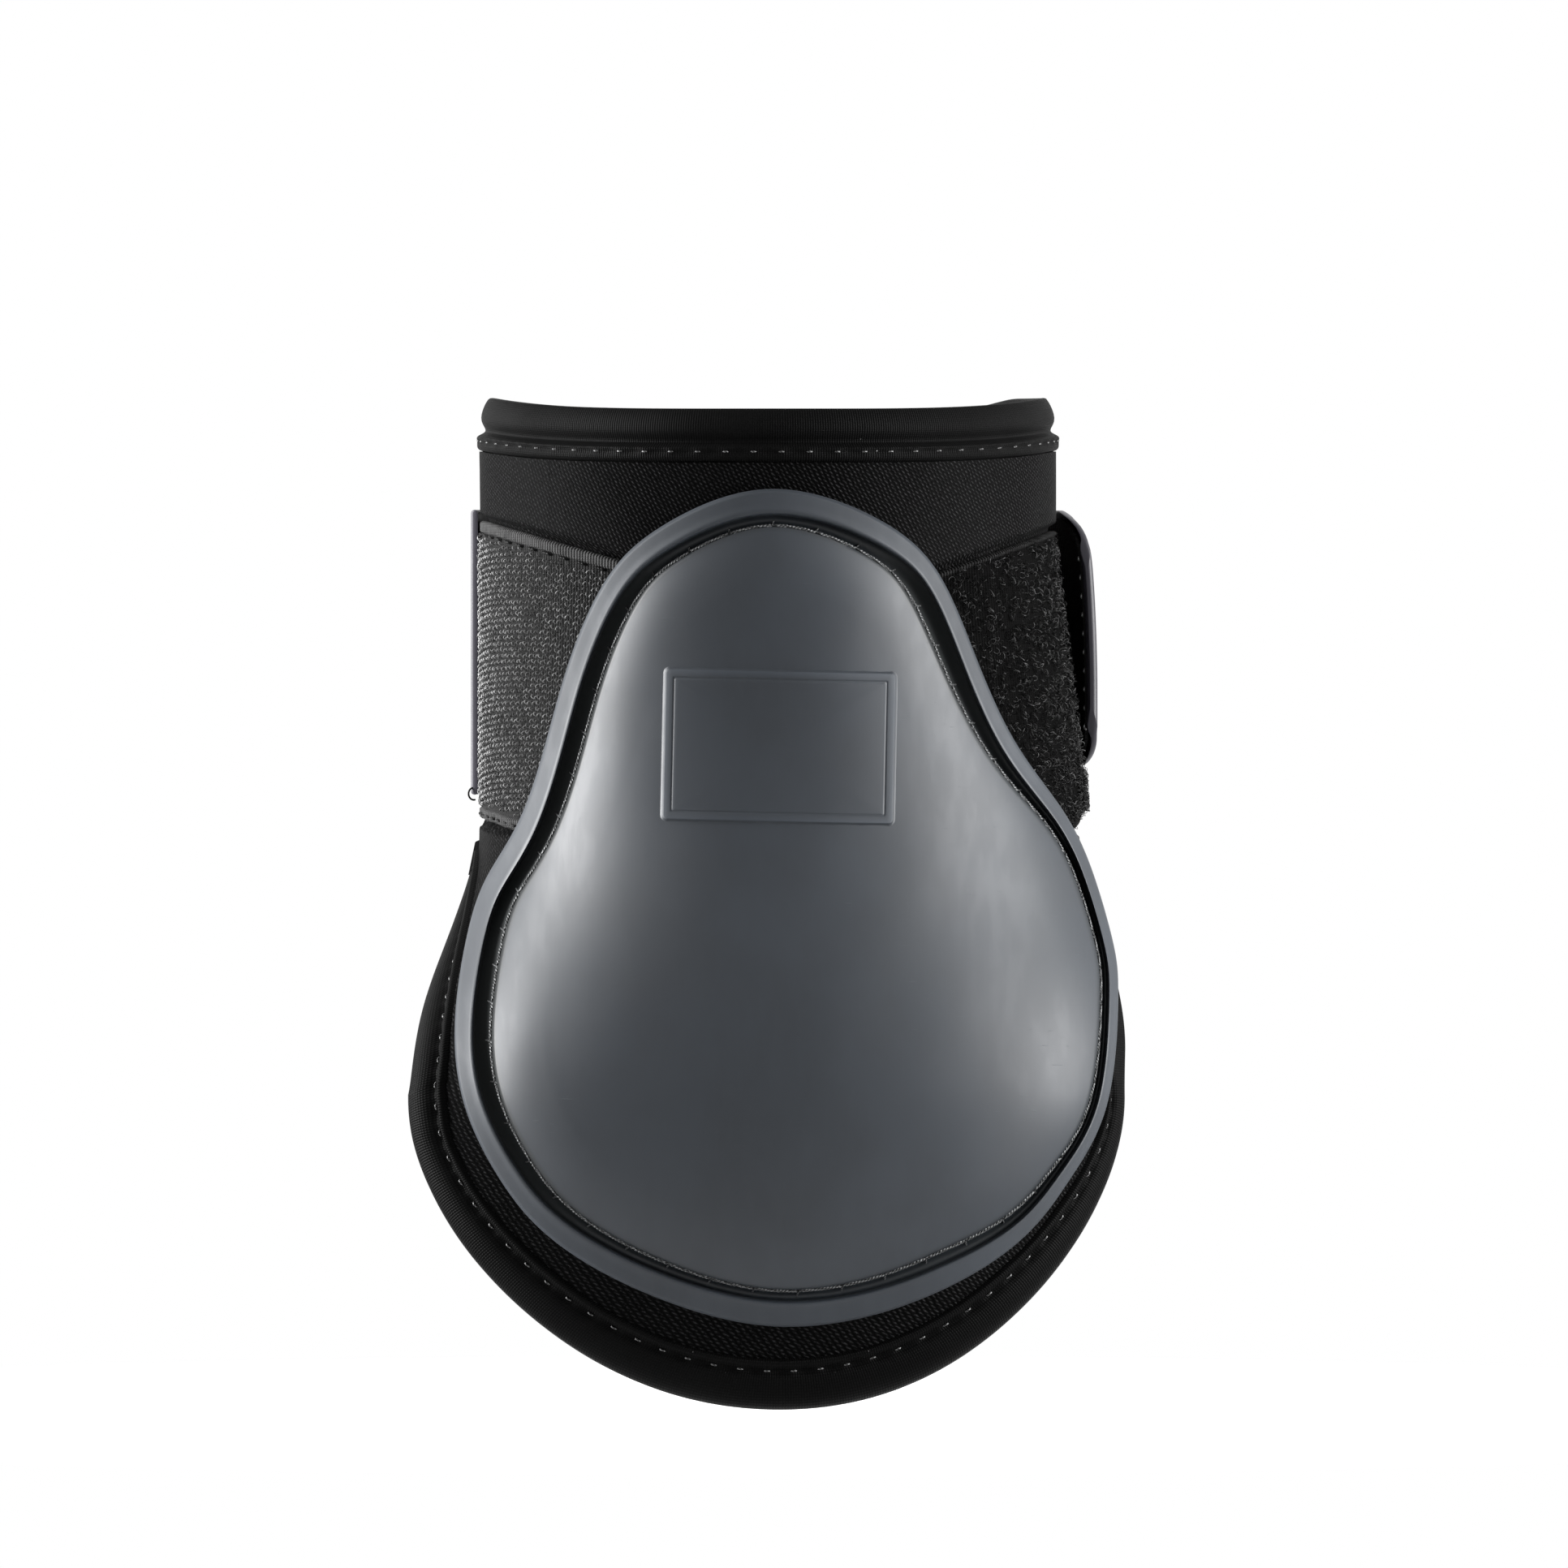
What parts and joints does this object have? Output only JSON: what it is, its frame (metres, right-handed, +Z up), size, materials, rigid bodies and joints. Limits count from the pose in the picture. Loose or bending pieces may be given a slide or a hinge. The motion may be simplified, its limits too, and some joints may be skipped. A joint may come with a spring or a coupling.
{
  "type": "horse fetlock boot",
  "caption": "Short brushing boot for a horse's fetlock: moulded strike shell on a neoprene wrap with a peel-off elastic strap.",
  "frame": {"origin": "On the axis of the horse's leg, level with the lowest point of the flap.", "axes": "+Z is up along the leg, -Y is the side that the strike shell faces, +X is to the right as the shell faces the viewer."},
  "size_m": [0.1168, 0.1071, 0.168],
  "materials": {
    "shell_plastic": "satin moulded thermoplastic rubber, dark grey",
    "tab_plastic": "glossy thermoplastic rubber sheet, dark grey",
    "pad_foam": "closed-cell foam",
    "neoprene_cloth": "neoprene faced with black and dark grey knit",
    "jersey_lining": "smooth black jersey",
    "hook_tape": "woven tape with rows of fine nylon hooks",
    "loop_tape": "fluffy nylon loops",
    "elastic_webbing": "ribbed woven elastic"
  },
  "bodies": {
    "boot_front": {"strike_shell": "shell_plastic", "shell_foam": "pad_foam", "front_neoprene": "neoprene_cloth", "front_lining": "jersey_lining", "front_collar": "jersey_lining", "flap_binding": "jersey_lining", "hook_tape_front": "hook_tape", "loop_tape_front": "loop_tape"},
    "left_wing": {"left_wing_neoprene": "neoprene_cloth", "left_wing_lining": "jersey_lining", "left_wing_collar": "jersey_lining", "left_wing_binding": "jersey_lining", "hook_tape_wing": "hook_tape", "anchor_tab": "tab_plastic"},
    "right_wing": {"right_wing_neoprene": "neoprene_cloth", "right_wing_lining": "jersey_lining", "right_wing_collar": "jersey_lining", "right_wing_binding": "jersey_lining", "loop_tape_wing": "loop_tape"},
    "strap": {"strap_elastic": "elastic_webbing"},
    "closing_tab": {"tab_cover": "tab_plastic", "tab_hook_lining": "hook_tape"}
  },
  "joints": [
    {"name": "left_wing_spread", "type": "hinge", "parent": "boot_front", "child": "left_wing", "pos_m": [-0.04998, 0, 0], "axis": [0, 0, 1], "range_deg": [0, 30]},
    {"name": "right_wing_spread", "type": "hinge", "parent": "boot_front", "child": "right_wing", "pos_m": [0.05402, 0, 0], "axis": [0, 0, -1], "range_deg": [0, 30]},
    {"name": "strap_open", "type": "hinge", "parent": "left_wing", "child": "strap", "pos_m": [-0.04758, 0.01442, 0], "axis": [0, 0, 1], "range_deg": [0, 150]},
    {"name": "tab_peel", "type": "hinge", "parent": "strap", "child": "closing_tab", "pos_m": [0.03392, 0.03443, 0], "axis": [0, 0, 1], "range_deg": [0, 50]}
  ],
  "couplings": [
    {"joint": "left_wing_spread", "follows": "strap_open", "ratio": 0.2},
    {"joint": "right_wing_spread", "follows": "strap_open", "ratio": 0.2}
  ]
}
